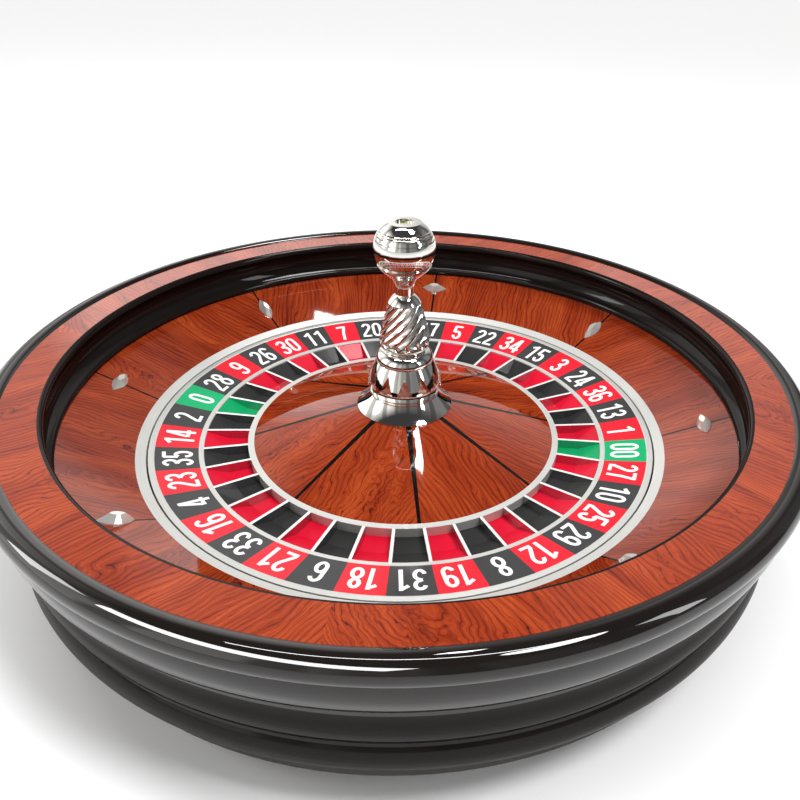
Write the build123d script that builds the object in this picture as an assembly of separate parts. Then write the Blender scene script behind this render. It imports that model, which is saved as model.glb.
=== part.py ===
from build123d import *
import os
from math import cos, pi, radians, sin, tan

# Casino roulette wheel: a turned wooden bowl that stands still, and a rotor that
# spins in it on two ball bearings. Millimetres, +Z up along the spin axis, and
# z = 0 is the surface that the feet stand on.

# --- driving sizes, from the centre outwards -------------------------------
pocket_count = 38
segment_count = 8            # veneer wedges, inlays and deflectors
number_ring_radius = 264.0
number_ring_width = 42.6
middle_ring_width = 5.0
pocket_length = 45.5         # middle ring to inner ring
pocket_slope_length = 22.5   # the sloped outer stretch of a pocket
inner_ring_width = 6.5
rotor_rim_width = 6.2
rotor_gap = 1.8              # open slot between the rotor and the bowl
trim_ring_width = 9.7
apron_width = 67.0
track_reach = 2.8            # from the apron out to the wooden rim
track_segments = 32          # staves that the ball track is glued up from
rim_width = 34.5
lip_width = 20.4
cove_depth = 19.5            # from the lip's nose in to the hollow below it

# --- driving heights ----------------------------------------------------------
ring_height = 104.0          # outer edge of the number ring
number_slope = 10.0          # degrees
pocket_depth = 11.0
cone_slope = 16.4
trim_rise = 4.4
apron_rise = 30.0
rim_rise = 82.2              # wooden rim above the number ring
lip_rise = 3.2               # crown of the black lip above the wood
skirt_height = 52.0          # lower edge of the black mouldings
board_bottom = 14.0
board_thickness = 18.0
plinth_drop = 4.0            # plinth below the base board

# --- sheet and wall thicknesses -----------------------------------------------
panel_thickness = 1.5
veneer_thickness = 2.0
rim_veneer_thickness = 2.5
pan_thickness = 8.0
apron_board_thickness = 14.0
frame_wall = 12.0
fret_width = 3.0
rotor_rim_wall = 2.0
rotor_start = 179.7          # angle where the first pocket begins
cone_inlay_start = 12.6
cone_inlay_inner = 6.0
cone_inlay_outer = 3.2
apron_inlay_width = 2.4

# --- deflectors ------------------------------------------------------------------
deflector_length = 34.5
deflector_width = 15.0
deflector_height = 8.5
deflector_stagger = 8.0      # the crosswise ones sit this much further out
screw_radius = 2.0
screw_bite = 4.5             # thread inside the deflector

# --- spindle, bearings and hub -----------------------------------------------------
shaft_radius = 12.5
bearing_radius = 26.0
bearing_width = 15.0
ball_radius = 3.97
ball_count = 9
race_clearance = 0.05
groove_depth = 1.9
carrier_radius = 70.0
carrier_flange = 10.0
carrier_height = 28.0
housing_wall = 8.0
housing_flange = 26.0
bearing_span = 36.0          # from one bearing's foot to the other's
cap_thickness = 6.0
nut_height = 6.0
shaft_air = 3.0              # from the spindle's end to the cap

# --- turret ----------------------------------------------------------------------------
flange_radius = 51.3
flange_edge = 1.3
flange_clearance = 0.2
flange_rise = 17.1           # from the cone to the bell's seat
bell_height = 49.5
bell_turn = 7.8              # degrees, from the X axis to the first petal notch
bell_base_radius = 35.1
bell_waist = 31.6            # wall behind the petals
skirt_radius = 40.3
skirt_top = 29.6
petal_count = 12
collar_height = 6.5
collar_radius = 25.3
column_height = 46.5
column_foot_radius = 22.9
column_belly = 27.0
column_belly_share = 0.14    # of the column's height
column_top_radius = 17.0
flute_count = 14
flute_depth = 2.2
column_twist = 118.0
neck_height = 26.8
neck_radius = 9.2
finial_radius = 30.7
finial_height = 56.0
rod_radius = 4.0
rod_clearance = 0.2

# --- levelling feet ----------------------------------------------------------------------
foot_count = 3
foot_circle = 290.0
foot_radius = 28.0
foot_height = 8.0
stud_radius = 6.0
stud_length = 16.0
spanner_radius = 14.0
spanner_height = 4.0
stud_clearance = 0.08
insert_wall = 4.0

# --- radii and heights that follow ---------------------------------------------------------
number_inner = number_ring_radius - number_ring_width
pocket_outer = number_inner - middle_ring_width
pocket_inner = pocket_outer - pocket_length
cone_radius = pocket_inner - inner_ring_width
rotor_radius = number_ring_radius + rotor_rim_width
trim_inner = rotor_radius + rotor_gap
apron_inner = trim_inner + trim_ring_width
apron_outer = apron_inner + apron_width
rim_inner = apron_outer + track_reach
rim_outer = rim_inner + rim_width
wheel_radius = rim_outer + lip_width
frame_outer = rim_outer - frame_wall
board_radius = apron_outer - 4.0
cove_radius = wheel_radius - cove_depth

ring_drop = tan(radians(number_slope))
cone_climb = tan(radians(cone_slope))
middle_height = ring_height - (number_ring_radius - pocket_outer) * ring_drop
floor_height = middle_height - pocket_depth
pan_top = floor_height - panel_thickness
pan_bottom = pan_top - pan_thickness
inner_ring_height = middle_height - 0.8
apron_low = ring_height + trim_rise
apron_high = apron_low + apron_rise
rim_height = ring_height + rim_rise
rim_seat = rim_height - rim_veneer_thickness
board_top = board_bottom + board_thickness
track_foot = apron_high - 6.0
moulding_joint = skirt_height + (rim_height - skirt_height) * 0.5


def cone_z(radius):
    return inner_ring_height + (cone_radius - radius) * cone_climb


def apron_z(radius):
    return apron_low + (radius - apron_inner) * apron_rise / apron_width


def ring_z(radius):
    return ring_height - (number_ring_radius - radius) * ring_drop


hub_radius = bearing_radius + housing_wall
cone_hole = flange_radius - 5.3
shoulder = board_top + carrier_height
upper_foot = shoulder + bearing_span
shaft_top = upper_foot + bearing_width + nut_height + 1.0
cap_foot = shaft_top + shaft_air
cap_top = cap_foot + cap_thickness
bell_foot = cone_z(flange_radius) + flange_rise
collar_foot = bell_foot + bell_height
column_foot = collar_foot + collar_height
neck_foot = column_foot + column_height
finial_foot = neck_foot + neck_height
finial_top = finial_foot + finial_height


# --- helpers ---------------------------------------------------------------------------------
def turned(*outline):
    """Ring or disc turned from an outline of (radius, height) corners."""
    face = make_face(Polyline(*outline, close=True))
    return revolve(Plane.XZ * face, Axis.Z)


def turned_edges(*edges):
    """The same, from lines and arcs that close up."""
    return revolve(Plane.XZ * make_face(Curve() + list(edges)), Axis.Z)


def wedge(outline, start, sweep):
    """One sector of a turned ring."""
    face = Plane.XZ * make_face(Polyline(*outline, close=True))
    return Rot(0, 0, start) * revolve(face, Axis.Z, revolution_arc=sweep)


def tube(inner, outer, low, high):
    return turned((inner, low), (outer, low), (outer, high), (inner, high))


def rod(radius, low, high, x=0.0, y=0.0):
    centre = Pos(x, y, (low + high) / 2)
    return centre * Cylinder(radius, high - low)


def around(count, radius, start=0.0):
    """Places evenly spaced on a circle."""
    step = 360 / count
    angles = [radians(start + k * step) for k in range(count)]
    return [(radius * cos(a), radius * sin(a)) for a in angles]


def save(name, *solids):
    shape = solids[0] if len(solids) == 1 else Compound(children=list(solids))
    export_step(shape, f"parts/{name}.step")


def pieces(shape):
    return list(shape.solids())


# --- bowl: base, frame and mouldings ---------------------------------------------------------
def base_board():
    board = rod(board_radius, board_bottom, board_top)
    for x, y in around(foot_count, foot_circle, 30):
        board -= rod(stud_radius + insert_wall, board_bottom, board_top, x, y)
    return board


def rim_frame():
    inner = apron_outer - frame_wall
    under = apron_board_thickness + veneer_thickness
    return turned(
        (inner, board_top),
        (frame_outer, board_top),
        (frame_outer, track_foot),
        (apron_outer, track_foot),
        (apron_outer, apron_z(apron_outer) - under),
        (inner, apron_z(inner) - under),
    )


def upper_moulding():
    """Lip with a round nose, then a second roll that dies into the cove."""
    top = rim_height
    drop = top - moulding_joint
    nose = lip_width - 8.0
    crest = (wheel_radius - nose, top + lip_rise)
    centre_z = top + lip_rise - nose
    tip = (wheel_radius, centre_z)
    turn = radians(-50)
    tuck = (crest[0] + nose * cos(turn), centre_z + nose * sin(turn))
    neck = (tuck[0] - 4.0, tuck[1] - 1.5)
    swell = (wheel_radius - 6.0, top - drop * 0.53)
    tail = (cove_radius + 3.0, top - drop * 0.87)
    return turned_edges(
        Line((frame_outer, moulding_joint), (frame_outer, rim_seat)),
        Line((frame_outer, rim_seat), (rim_outer, rim_seat)),
        Line((rim_outer, rim_seat), (rim_outer, top)),
        ThreePointArc((rim_outer, top), (rim_outer + 3.4, top + lip_rise * 0.72), crest),
        ThreePointArc(crest, tip, tuck),
        Line(tuck, neck),
        ThreePointArc(neck, swell, tail),
        Line(tail, (cove_radius, top - drop * 0.92)),
        Line((cove_radius, top - drop * 0.92), (cove_radius, moulding_joint)),
        Line((cove_radius, moulding_joint), (frame_outer, moulding_joint)),
    )


def lower_moulding():
    """Two rolls with a narrow groove between them, below the cove."""
    joint = moulding_joint
    drop = joint - skirt_height
    roll = cove_radius + 2.6
    waist = cove_radius - 2.0
    shelf = (cove_radius, joint - drop * 0.1)
    end = (cove_radius - 6.0, skirt_height)
    return turned_edges(
        Line((frame_outer, skirt_height), (frame_outer, joint)),
        Line((frame_outer, joint), (cove_radius, joint)),
        Line((cove_radius, joint), shelf),
        ThreePointArc(shelf, (roll, joint - drop * 0.28), (waist, joint - drop * 0.48)),
        Line((waist, joint - drop * 0.48), (waist, joint - drop * 0.54)),
        ThreePointArc((waist, joint - drop * 0.54), (roll, joint - drop * 0.77), end),
        Line(end, (frame_outer, skirt_height)),
    )


def plinth_ring():
    """Coved foot under the frame, round the base board."""
    low = board_bottom - plinth_drop
    foot = board_radius + 8.0
    bend = (foot + 4.0, (low + board_top) / 2 + 4.0)
    return turned_edges(
        Line((board_radius, board_top), (board_radius, low)),
        Line((board_radius, low), (foot, low)),
        ThreePointArc((foot, low), bend, (frame_outer, board_top)),
        Line((frame_outer, board_top), (board_radius, board_top)),
    )


def ball_track():
    """Bead under the wood, concave groove for the ball, then a rounded ledge."""
    edge = rim_inner
    high = rim_seat
    low = apron_high
    room = high - low
    bead = (edge - 4.2, rim_height - 3.4)
    under = (edge - 1.6, high - room * 0.14)
    deep = (edge + 5.5, low + room * 0.48)
    ledge = (edge - 1.8, low + room * 0.19)
    nose = (edge - 4.6, low + room * 0.11)
    sweep = 360 / track_segments
    edges = [
        Line((edge, high), (edge, rim_height)),
        ThreePointArc((edge, rim_height), bead, under),
        ThreePointArc(under, deep, ledge),
        ThreePointArc(ledge, nose, (apron_outer, low)),
        Line((apron_outer, low), (apron_outer, track_foot)),
        Line((apron_outer, track_foot), (frame_outer, track_foot)),
        Line((frame_outer, track_foot), (frame_outer, high)),
        Line((frame_outer, high), (edge, high)),
    ]
    stave = revolve(Plane.XZ * make_face(Curve() + edges), Axis.Z, revolution_arc=sweep)
    return [Rot(0, 0, k * sweep) * stave for k in range(track_segments)]


def rim_veneer():
    outline = [(rim_inner, rim_seat), (rim_outer, rim_seat), (rim_outer, rim_height), (rim_inner, rim_height)]
    sweep = 360 / segment_count
    return [wedge(outline, k * sweep, sweep) for k in range(segment_count)]


# --- bowl: apron, its inlays, trim and deflectors ---------------------------------------------
def apron_shell(high, low, inner, outer):
    """Cone between two depths below the apron's face."""
    return turned(
        (inner, apron_z(inner) - low),
        (outer, apron_z(outer) - low),
        (outer, apron_z(outer) - high),
        (inner, apron_z(inner) - high),
    )


def spokes(inner, outer, inner_width, outer_width, low, high, start):
    """Tapered radial bars, one for each veneer wedge."""
    corners = [
        (inner, -inner_width / 2),
        (outer, -outer_width / 2),
        (outer, outer_width / 2),
        (inner, inner_width / 2),
    ]
    face = Pos(0, 0, low) * make_face(Polyline(*corners, close=True))
    bar = extrude(face, high - low)
    step = 360 / segment_count
    return [Rot(0, 0, start + k * step) * bar for k in range(segment_count)]


def deflector_places():
    """Angle, radius and turn of each: crosswise and lengthwise by turns."""
    middle = (apron_inner + apron_outer) / 2
    step = 360 / segment_count
    places = []
    for k in range(segment_count):
        crosswise = k % 2 == 0
        radius = middle + deflector_stagger if crosswise else middle
        places.append((k * step, radius, 90 if crosswise else 0))
    return places


def deflector_screw_rods():
    slope = -180 / pi * (apron_rise / apron_width)
    rods = []
    for angle, radius, turn in deflector_places():
        deep = veneer_thickness + apron_board_thickness
        length = deep + screw_bite
        bar = Pos(0, 0, (screw_bite - deep) / 2) * Cylinder(screw_radius, length)
        lean = Rot(0, 0, angle) * Pos(radius, 0, apron_z(radius)) * Rot(0, slope, 0)
        rods.append(lean * bar)
    return rods


def gem():
    """Stud with an outline pointed at both ends, a low wall, a bevel and a flat crown."""
    sink = 2.0
    crown_share = 0.42
    girdle_share = 0.14
    side = [-1.0, -0.62, -0.22, 0.22, 0.62]
    upper = [(x * deflector_length / 2, (1 - x * x) * deflector_width / 2) for x in side]
    outline = upper + [(-x, -y) for x, y in upper]
    count = len(outline)
    foot = [Vector(x, y, -sink) for x, y in outline]
    girdle = [Vector(x, y, deflector_height * girdle_share) for x, y in outline]
    crown = [Vector(x * crown_share, y * crown_share, deflector_height) for x, y in outline]
    faces = [flat(crown), flat(foot)]
    for k in range(count):
        n = (k + 1) % count
        faces.append(flat([foot[k], foot[n], girdle[n], girdle[k]]))
        faces.append(flat([girdle[k], girdle[n], crown[n], crown[k]]))
    return Solid(Shell(faces))


def flat(corners):
    return Face(Wire.make_polygon(corners, close=True))


def deflectors(ground):
    slope = -180 / pi * (apron_rise / apron_width)
    studs = []
    stone = gem()
    for angle, radius, turn in deflector_places():
        place = Rot(0, 0, angle) * Pos(radius, 0, apron_z(radius)) * Rot(0, slope, 0) * Rot(0, 0, turn)
        studs.append(place * stone - ground)
    return studs


def apron_pieces():
    """Board, panels, inlays, trim ring, deflectors and their screws."""
    holes = deflector_screw_rods()
    board = apron_shell(veneer_thickness, veneer_thickness + apron_board_thickness, trim_inner, apron_outer)
    trim_seat = apron_shell(0, veneer_thickness + panel_thickness, trim_inner, apron_inner)
    board = board - trim_seat
    skin = apron_shell(0, veneer_thickness, apron_inner, apron_outer)
    bars = spokes(
        apron_inner - 5.0,
        apron_outer + 5.0,
        apron_inlay_width,
        apron_inlay_width,
        apron_low - 10.0,
        apron_high + 10.0,
        0.0,
    )
    inlays = [(skin & bar) for bar in bars]
    panels = skin - bars
    ground = apron_shell(0, 20.0, apron_inner, apron_outer)
    studs = deflectors(ground)
    for k in range(segment_count):
        studs[k] = studs[k] - holes[k]
    board = board - holes
    panels = panels - holes
    inlays = [inlays[k] - holes[k] for k in range(segment_count)]
    return board, panels, inlays, studs, holes


def trim_ring():
    # flat silver ring with a short skirt down the slot beside the rotor
    edge = apron_z(trim_inner) + 0.6
    seat = veneer_thickness + panel_thickness
    return turned(
        (trim_inner, edge),
        (trim_inner, apron_z(trim_inner) - seat),
        (apron_inner, apron_z(apron_inner) - seat),
        (apron_inner, apron_low),
    )


# --- bowl: spindle, bearings and feet ----------------------------------------------------------
def spindle_carrier(bolts):
    boss = hub_radius - 2.0
    body = tube(shaft_radius, carrier_radius, board_top, board_top + carrier_flange)
    body += tube(shaft_radius, boss, board_top + carrier_flange, shoulder - 4.0)
    return body - bolts


def carrier_bolts():
    shanks = []
    heads = []
    head_height = 5.0
    for x, y in around(6, carrier_radius - 14.0, 30):
        top = board_top + carrier_flange
        shanks.append(rod(4.0, board_bottom + 3.0, top, x, y))
        head = extrude(Pos(x, y, top) * RegularPolygon(7.0, 6), head_height)
        heads.append(head)
    return [a + b for a, b in zip(shanks, heads)], shanks


def spindle():
    collar = shaft_radius + 3.5
    return turned(
        (0, board_top + 1.0),
        (shaft_radius, board_top + 1.0),
        (shaft_radius, shoulder - 4.0),
        (collar, shoulder - 4.0),
        (collar, shoulder),
        (shaft_radius, shoulder),
        (shaft_radius, shaft_top - 1.0),
        (shaft_radius - 1.0, shaft_top),
        (0, shaft_top),
    )


def race_radii():
    middle = (shaft_radius + bearing_radius) / 2
    inner = middle - ball_radius + groove_depth
    outer = middle + ball_radius - groove_depth
    return inner, middle, outer


def groove(foot):
    """Torus that the balls roll in, wider than they are by the race clearance."""
    middle = race_radii()[1]
    return Pos(0, 0, foot + bearing_width / 2) * Torus(middle, ball_radius + race_clearance)


def inner_race(foot):
    inner = race_radii()[0]
    return tube(shaft_radius, inner, foot, foot + bearing_width) - groove(foot)


def outer_race(foot):
    outer = race_radii()[2]
    return tube(outer, bearing_radius, foot, foot + bearing_width) - groove(foot)


def ball_set(foot):
    """The balls and the flat cage that spaces them."""
    inner, middle, outer = race_radii()
    height = foot + bearing_width / 2
    balls = [Pos(x, y, height) * Sphere(ball_radius) for x, y in around(ball_count, middle)]
    cage = tube(inner + 0.6, outer - 0.6, height - 1.5, height + 1.5)
    for x, y in around(ball_count, middle):
        cage -= Pos(x, y, height) * Sphere(ball_radius + race_clearance)
    return balls + pieces(cage)


def race_spacer():
    return tube(shaft_radius, shaft_radius + 3.0, shoulder + bearing_width, upper_foot)


def spindle_nut():
    foot = upper_foot + bearing_width
    nut = extrude(Pos(0, 0, foot) * RegularPolygon(shaft_radius + 6.5, 6), nut_height)
    return nut - rod(shaft_radius, foot - 1.0, foot + nut_height + 1.0)


def foot_inserts():
    bushes = []
    for x, y in around(foot_count, foot_circle, 30):
        bush = rod(stud_radius + insert_wall, board_bottom, board_top, x, y)
        bushes.append(bush - rod(stud_radius + stud_clearance, board_bottom, board_top, x, y))
    return bushes


def levelling_foot(x, y):
    """Pad, hexagon for the spanner and plain stud, in one piece."""
    pad = rod(foot_radius, 0, foot_height, x, y)
    pad = fillet(pad.edges().sort_by(Axis.Z)[-1], 2.0)
    hexagon = extrude(Pos(x, y, foot_height) * RegularPolygon(spanner_radius, 6), spanner_height)
    stud = rod(stud_radius, foot_height + spanner_height, foot_height + spanner_height + stud_length, x, y)
    return pad + hexagon + stud


def frame_screws():
    return [rod(2.5, board_bottom, board_top + 26.0, x, y) for x, y in around(12, apron_outer - 8.0, 15)]


# --- rotor: pan, number ring and pockets ---------------------------------------------------------
def rotor_pan(bolts):
    body = tube(hub_radius, rotor_radius - rotor_rim_wall, pan_bottom, pan_top)
    return body - bolts


def number_carrier():
    """Ring that backs the number panels and the pockets' sloped stretch."""
    outer = rotor_radius - rotor_rim_wall
    slope_foot = pocket_outer - pocket_slope_length
    return turned(
        (slope_foot, pan_top),
        (outer, pan_top),
        (outer, ring_z(outer) - panel_thickness),
        (pocket_outer, middle_height - panel_thickness),
        (pocket_outer, middle_height - 2 * panel_thickness),
    )


def rotor_rim():
    inner = rotor_radius - rotor_rim_wall
    return turned(
        (number_ring_radius, ring_height),
        (number_ring_radius, ring_z(number_ring_radius) - panel_thickness),
        (inner, ring_z(inner) - panel_thickness),
        (inner, pan_bottom),
        (rotor_radius, pan_bottom),
        (rotor_radius, ring_height + 0.4),
        (number_ring_radius + 1.0, ring_height + 0.4),
    )


def ring_band(inner, outer):
    return [
        (inner, ring_z(inner) - panel_thickness),
        (outer, ring_z(outer) - panel_thickness),
        (outer, ring_z(outer)),
        (inner, ring_z(inner)),
    ]


def pocket_outline():
    """Skin of one pocket: sloped stretch, then the flat floor."""
    slope_foot = pocket_outer - pocket_slope_length
    lip = middle_height - panel_thickness
    return [
        (pocket_inner, pan_top),
        (slope_foot, pan_top),
        (pocket_outer, lip - panel_thickness),
        (pocket_outer, lip),
        (slope_foot - 0.5, floor_height),
        (pocket_inner, floor_height),
    ]


def pocket_colours():
    """Colour of each pocket, clockwise from the first: 0, then black and red in turn."""
    half = pocket_count // 2
    colours = []
    for k in range(pocket_count):
        if k % half == 0:
            colours.append("green")
        elif k < half:
            colours.append("black" if k % 2 == 1 else "red")
        else:
            colours.append("red" if (k - half) % 2 == 1 else "black")
    return colours


def coloured_sectors(outline):
    sweep = 360 / pocket_count
    groups = {"red": [], "black": [], "green": []}
    for k, colour in enumerate(pocket_colours()):
        groups[colour].append(wedge(outline, rotor_start - (k + 1) * sweep, sweep))
    return groups


def frets():
    """Upright walls between the pockets."""
    slope_foot = pocket_outer - pocket_slope_length
    lip = middle_height - panel_thickness
    outline = [
        (pocket_inner, floor_height),
        (slope_foot - 0.5, floor_height),
        (pocket_outer, lip),
        (pocket_outer, middle_height),
        (pocket_inner, inner_ring_height),
    ]
    face = Plane.XZ * make_face(Polyline(*outline, close=True))
    wall = extrude(face, fret_width / 2, both=True)
    step = 360 / pocket_count
    return [Rot(0, 0, rotor_start - k * step) * wall for k in range(pocket_count)]


def inner_ring():
    wall = 3.0
    seat = cone_z(cone_radius) - veneer_thickness
    return turned(
        (cone_radius, seat),
        (pocket_inner - wall, seat),
        (pocket_inner - wall, pan_top),
        (pocket_inner, pan_top),
        (pocket_inner, inner_ring_height),
        (cone_radius, inner_ring_height),
    )


# --- rotor: cone and hub ----------------------------------------------------------------------------
def cone_board():
    outer = pocket_inner - 3.0
    seat = cone_z(cone_radius) - veneer_thickness
    return turned(
        (cone_hole, pan_top),
        (outer, pan_top),
        (outer, seat),
        (cone_radius, seat),
        (cone_hole, cone_z(cone_hole) - veneer_thickness),
    )


def cone_pieces():
    skin = turned(
        (cone_hole, cone_z(cone_hole) - veneer_thickness),
        (cone_radius, cone_z(cone_radius) - veneer_thickness),
        (cone_radius, cone_z(cone_radius)),
        (cone_hole, cone_z(cone_hole)),
    )
    bars = spokes(
        cone_hole - 5.0,
        cone_radius + 5.0,
        cone_inlay_inner,
        cone_inlay_outer,
        cone_z(cone_radius) - 10.0,
        cone_z(cone_hole) + 10.0,
        cone_inlay_start,
    )
    inlays = [(skin & bar) for bar in bars]
    return skin - bars, inlays


def bearing_housing(bolts):
    top = cap_foot
    body = tube(bearing_radius, hub_radius, shoulder - 2.0, top)
    body += tube(bearing_radius - 3.0, bearing_radius, shoulder + bearing_width, upper_foot)
    flange = tube(hub_radius - 1.0, hub_radius + housing_flange, pan_bottom - 6.0, pan_bottom)
    return (body + flange) - bolts


def rotor_bolts():
    shanks = []
    heads = []
    for x, y in around(6, hub_radius + housing_flange - 12.0):
        shanks.append(rod(3.0, pan_bottom - 6.0, pan_top - 1.0, x, y))
        heads.append(extrude(Pos(x, y, pan_bottom - 10.0) * RegularPolygon(5.5, 6), 4.0))
    return [a + b for a, b in zip(shanks, heads)], shanks


def housing_cap():
    spigot = 2.0
    return turned(
        (rod_radius, cap_foot),
        (bearing_radius, cap_foot),
        (hub_radius, cap_foot),
        (hub_radius, cap_top),
        (rod_radius, cap_top),
    ) + tube(rod_radius, bearing_radius, cap_foot - spigot + 0.5, cap_foot)


# --- rotor: turret --------------------------------------------------------------------------------------
bore = rod_radius + rod_clearance


def turret_flange():
    """Cone under the bell, hollow underneath where it sits over the wooden cone."""
    step = bell_base_radius + 1.6
    boss = cone_hole - 0.5
    rim = cone_z(flange_radius) + flange_clearance
    shoulder_z = bell_foot - 1.0
    hollow = 0.5
    middle = ((flange_radius + step) / 2 - hollow, (rim + flange_edge + shoulder_z) / 2 - hollow)
    return turned_edges(
        Line((bore, cap_top), (boss, cap_top)),
        Line((boss, cap_top), (boss, cone_z(boss) + flange_clearance)),
        Line((boss, cone_z(boss) + flange_clearance), (flange_radius, rim)),
        Line((flange_radius, rim), (flange_radius, rim + flange_edge)),
        ThreePointArc((flange_radius, rim + flange_edge), middle, (step, shoulder_z)),
        Line((step, shoulder_z), (step, bell_foot)),
        Line((step, bell_foot), (bore, bell_foot)),
        Line((bore, bell_foot), (bore, cap_top)),
    )


def turret_bell():
    """Base band, a skirt cut into petals, a groove and a rounded shoulder."""
    low = bell_foot
    top = low + bell_height
    base = (bell_base_radius, low + 2.0)
    waist = (bell_waist + 1.0, low + 8.0)
    skirt = (skirt_radius, low + 12.5)
    groove_foot = (skirt_top, low + 37.0)
    groove_in = (skirt_top - 1.4, low + 37.8)
    roll = (skirt_top + 0.9, low + 39.2)
    crown = (collar_radius - 3.0, top)
    body = turned_edges(
        Line((bore, low), (bell_base_radius, low)),
        Line((bell_base_radius, low), base),
        ThreePointArc(base, (bell_waist + 1.8, low + 4.8), waist),
        Line(waist, skirt),
        ThreePointArc(skirt, (skirt_radius - 4.2, low + 24.5), groove_foot),
        Line(groove_foot, groove_in),
        Line(groove_in, roll),
        ThreePointArc(roll, (skirt_top - 1.2, low + 45.2), crown),
        Line(crown, (bore, top)),
        Line((bore, top), (bore, low)),
    )
    for k in range(petal_count):
        body -= petal_notch(bell_turn + k * 360 / petal_count)
    return body


def petal_notch(angle):
    """Triangular notch with its point up, cut in to the wall behind the petals."""
    a = radians(angle)
    foot = 8.0
    point = 31.0
    reach = 14.0
    half = pi * skirt_radius / petal_count * 0.97
    place = Plane(
        origin=(bell_waist * cos(a), bell_waist * sin(a), bell_foot),
        x_dir=(-sin(a), cos(a), 0),
        z_dir=(cos(a), sin(a), 0),
    )
    corners = [(-half, foot), (half, foot), (0, point)]
    return extrude(place * make_face(Polyline(*corners, close=True)), reach)


def turret_collar():
    """Ring that flares out under the column."""
    low = collar_foot
    waist = collar_radius - 3.0
    return turned_edges(
        Line((bore, low), (waist, low)),
        ThreePointArc((waist, low), (waist + 0.8, low + 3.0), (collar_radius, low + 4.8)),
        Line((collar_radius, low + 4.8), (collar_radius, low + collar_height)),
        Line((collar_radius, low + collar_height), (bore, low + collar_height)),
        Line((bore, low + collar_height), (bore, low)),
    )


def star(radius, height, turn):
    corners = []
    for k in range(2 * flute_count):
        reach = radius if k % 2 == 0 else radius - flute_depth
        a = radians(turn + k * 180 / flute_count)
        corners.append((reach * cos(a), reach * sin(a)))
    return Pos(0, 0, height) * make_face(Polyline(*corners, close=True))


def column_radius(share):
    """Widest low down, then tapering to the top."""
    if share < column_belly_share:
        return column_foot_radius + (column_belly - column_foot_radius) * share / column_belly_share
    fall = (share - column_belly_share) / (1 - column_belly_share)
    return column_belly - (column_belly - column_top_radius) * fall


def turret_column():
    """Tapered column with flutes that wind up it."""
    rings = 14
    sections = []
    for k in range(rings + 1):
        share = k / rings
        sections.append(star(column_radius(share), column_foot + share * column_height, share * column_twist))
    return loft(sections, ruled=True) - rod(bore, column_foot, neck_foot)


def turret_neck():
    """Bevelled cap on the column, a slim neck and the flare under the finial."""
    low = neck_foot
    top = low + neck_height
    cap = column_top_radius - 0.2
    return turned_edges(
        Line((bore, low), (cap, low)),
        ThreePointArc((cap, low), (cap - 3.2, low + 4.6), (neck_radius + 0.4, low + 8.3)),
        Line((neck_radius + 0.4, low + 8.3), (neck_radius, low + 9.3)),
        Line((neck_radius, low + 9.3), (neck_radius, low + 16.5)),
        Spline((neck_radius, low + 16.5), (neck_radius + 0.9, low + 20.6), (13.4, top), tangents=((0, 1), (0.5, 1))),
        Line((13.4, top), (bore, top)),
        Line((bore, top), (bore, low)),
    )


def finial():
    """Ball with a flared foot, a fine groove, two ring grooves and a flat crown."""
    low = finial_foot
    middle = finial_top - 25.7
    ball = Pos(0, 0, middle) * Sphere(finial_radius)
    keep = tube(0, finial_radius + 1.0, low + 13.0, finial_top)
    foot = turned_edges(
        Line((0, low), (12.2, low)),
        Spline((12.2, low), (20.0, low + 5.4), (27.0, low + 13.0), tangents=((1, 0.15), (0.4, 1))),
        Line((27.0, low + 13.0), (0, low + 13.0)),
        Line((0, low + 13.0), (0, low)),
    )
    body = (ball & keep) + foot
    body -= turned((27.2, low + 15.0), (32.0, low + 15.0), (32.0, low + 16.4), (27.2, low + 16.4))
    body -= turned((27.6, middle + 8.6), (32.0, middle + 8.6), (32.0, middle + 10.0), (27.6, middle + 10.0))
    body -= turned((26.0, middle + 12.6), (32.0, middle + 12.6), (32.0, middle + 14.0), (26.0, middle + 14.0))
    body -= rod(9.3, finial_top - 3.0, finial_top + 1.0)
    body -= rod(6.6, finial_top - 6.0, finial_top + 1.0)
    return body - rod(rod_radius, low, finial_top - 6.0)


def finial_button():
    return turned(
        (0, finial_top - 6.0),
        (6.6, finial_top - 6.0),
        (6.6, finial_top - 3.4),
        (5.2, finial_top - 2.2),
        (0, finial_top - 2.2),
    )


def tie_rod():
    return rod(rod_radius, cap_foot + 0.5, finial_top - 6.0)


# --- build every piece ------------------------------------------------------------------------------------
def build_bowl():
    screws = frame_screws()
    carrier_set, carrier_holes = carrier_bolts()
    save("base_board", base_board() - screws - carrier_holes)
    save("rim_frame", rim_frame() - screws)
    save("frame_screws", *screws)
    save("upper_moulding", upper_moulding())
    save("lower_moulding", lower_moulding())
    save("plinth_ring", plinth_ring())
    save("ball_track", *ball_track())
    save("rim_veneer", *rim_veneer())
    board, panels, inlays, studs, screw_rods = apron_pieces()
    save("apron_board", board)
    save("apron_panels", *pieces(panels))
    save("apron_inlays", *inlays)
    save("apron_trim_ring", trim_ring())
    for k in range(segment_count):
        save(f"deflector_{k + 1}", studs[k])
    save("deflector_screws", *screw_rods)
    save("spindle_carrier", spindle_carrier(carrier_holes))
    save("carrier_bolts", *carrier_set)
    save("spindle", spindle())
    save("inner_races", inner_race(shoulder), inner_race(upper_foot))
    save("race_spacer", race_spacer())
    save("spindle_nut", spindle_nut())
    save("foot_inserts", *foot_inserts())


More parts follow.
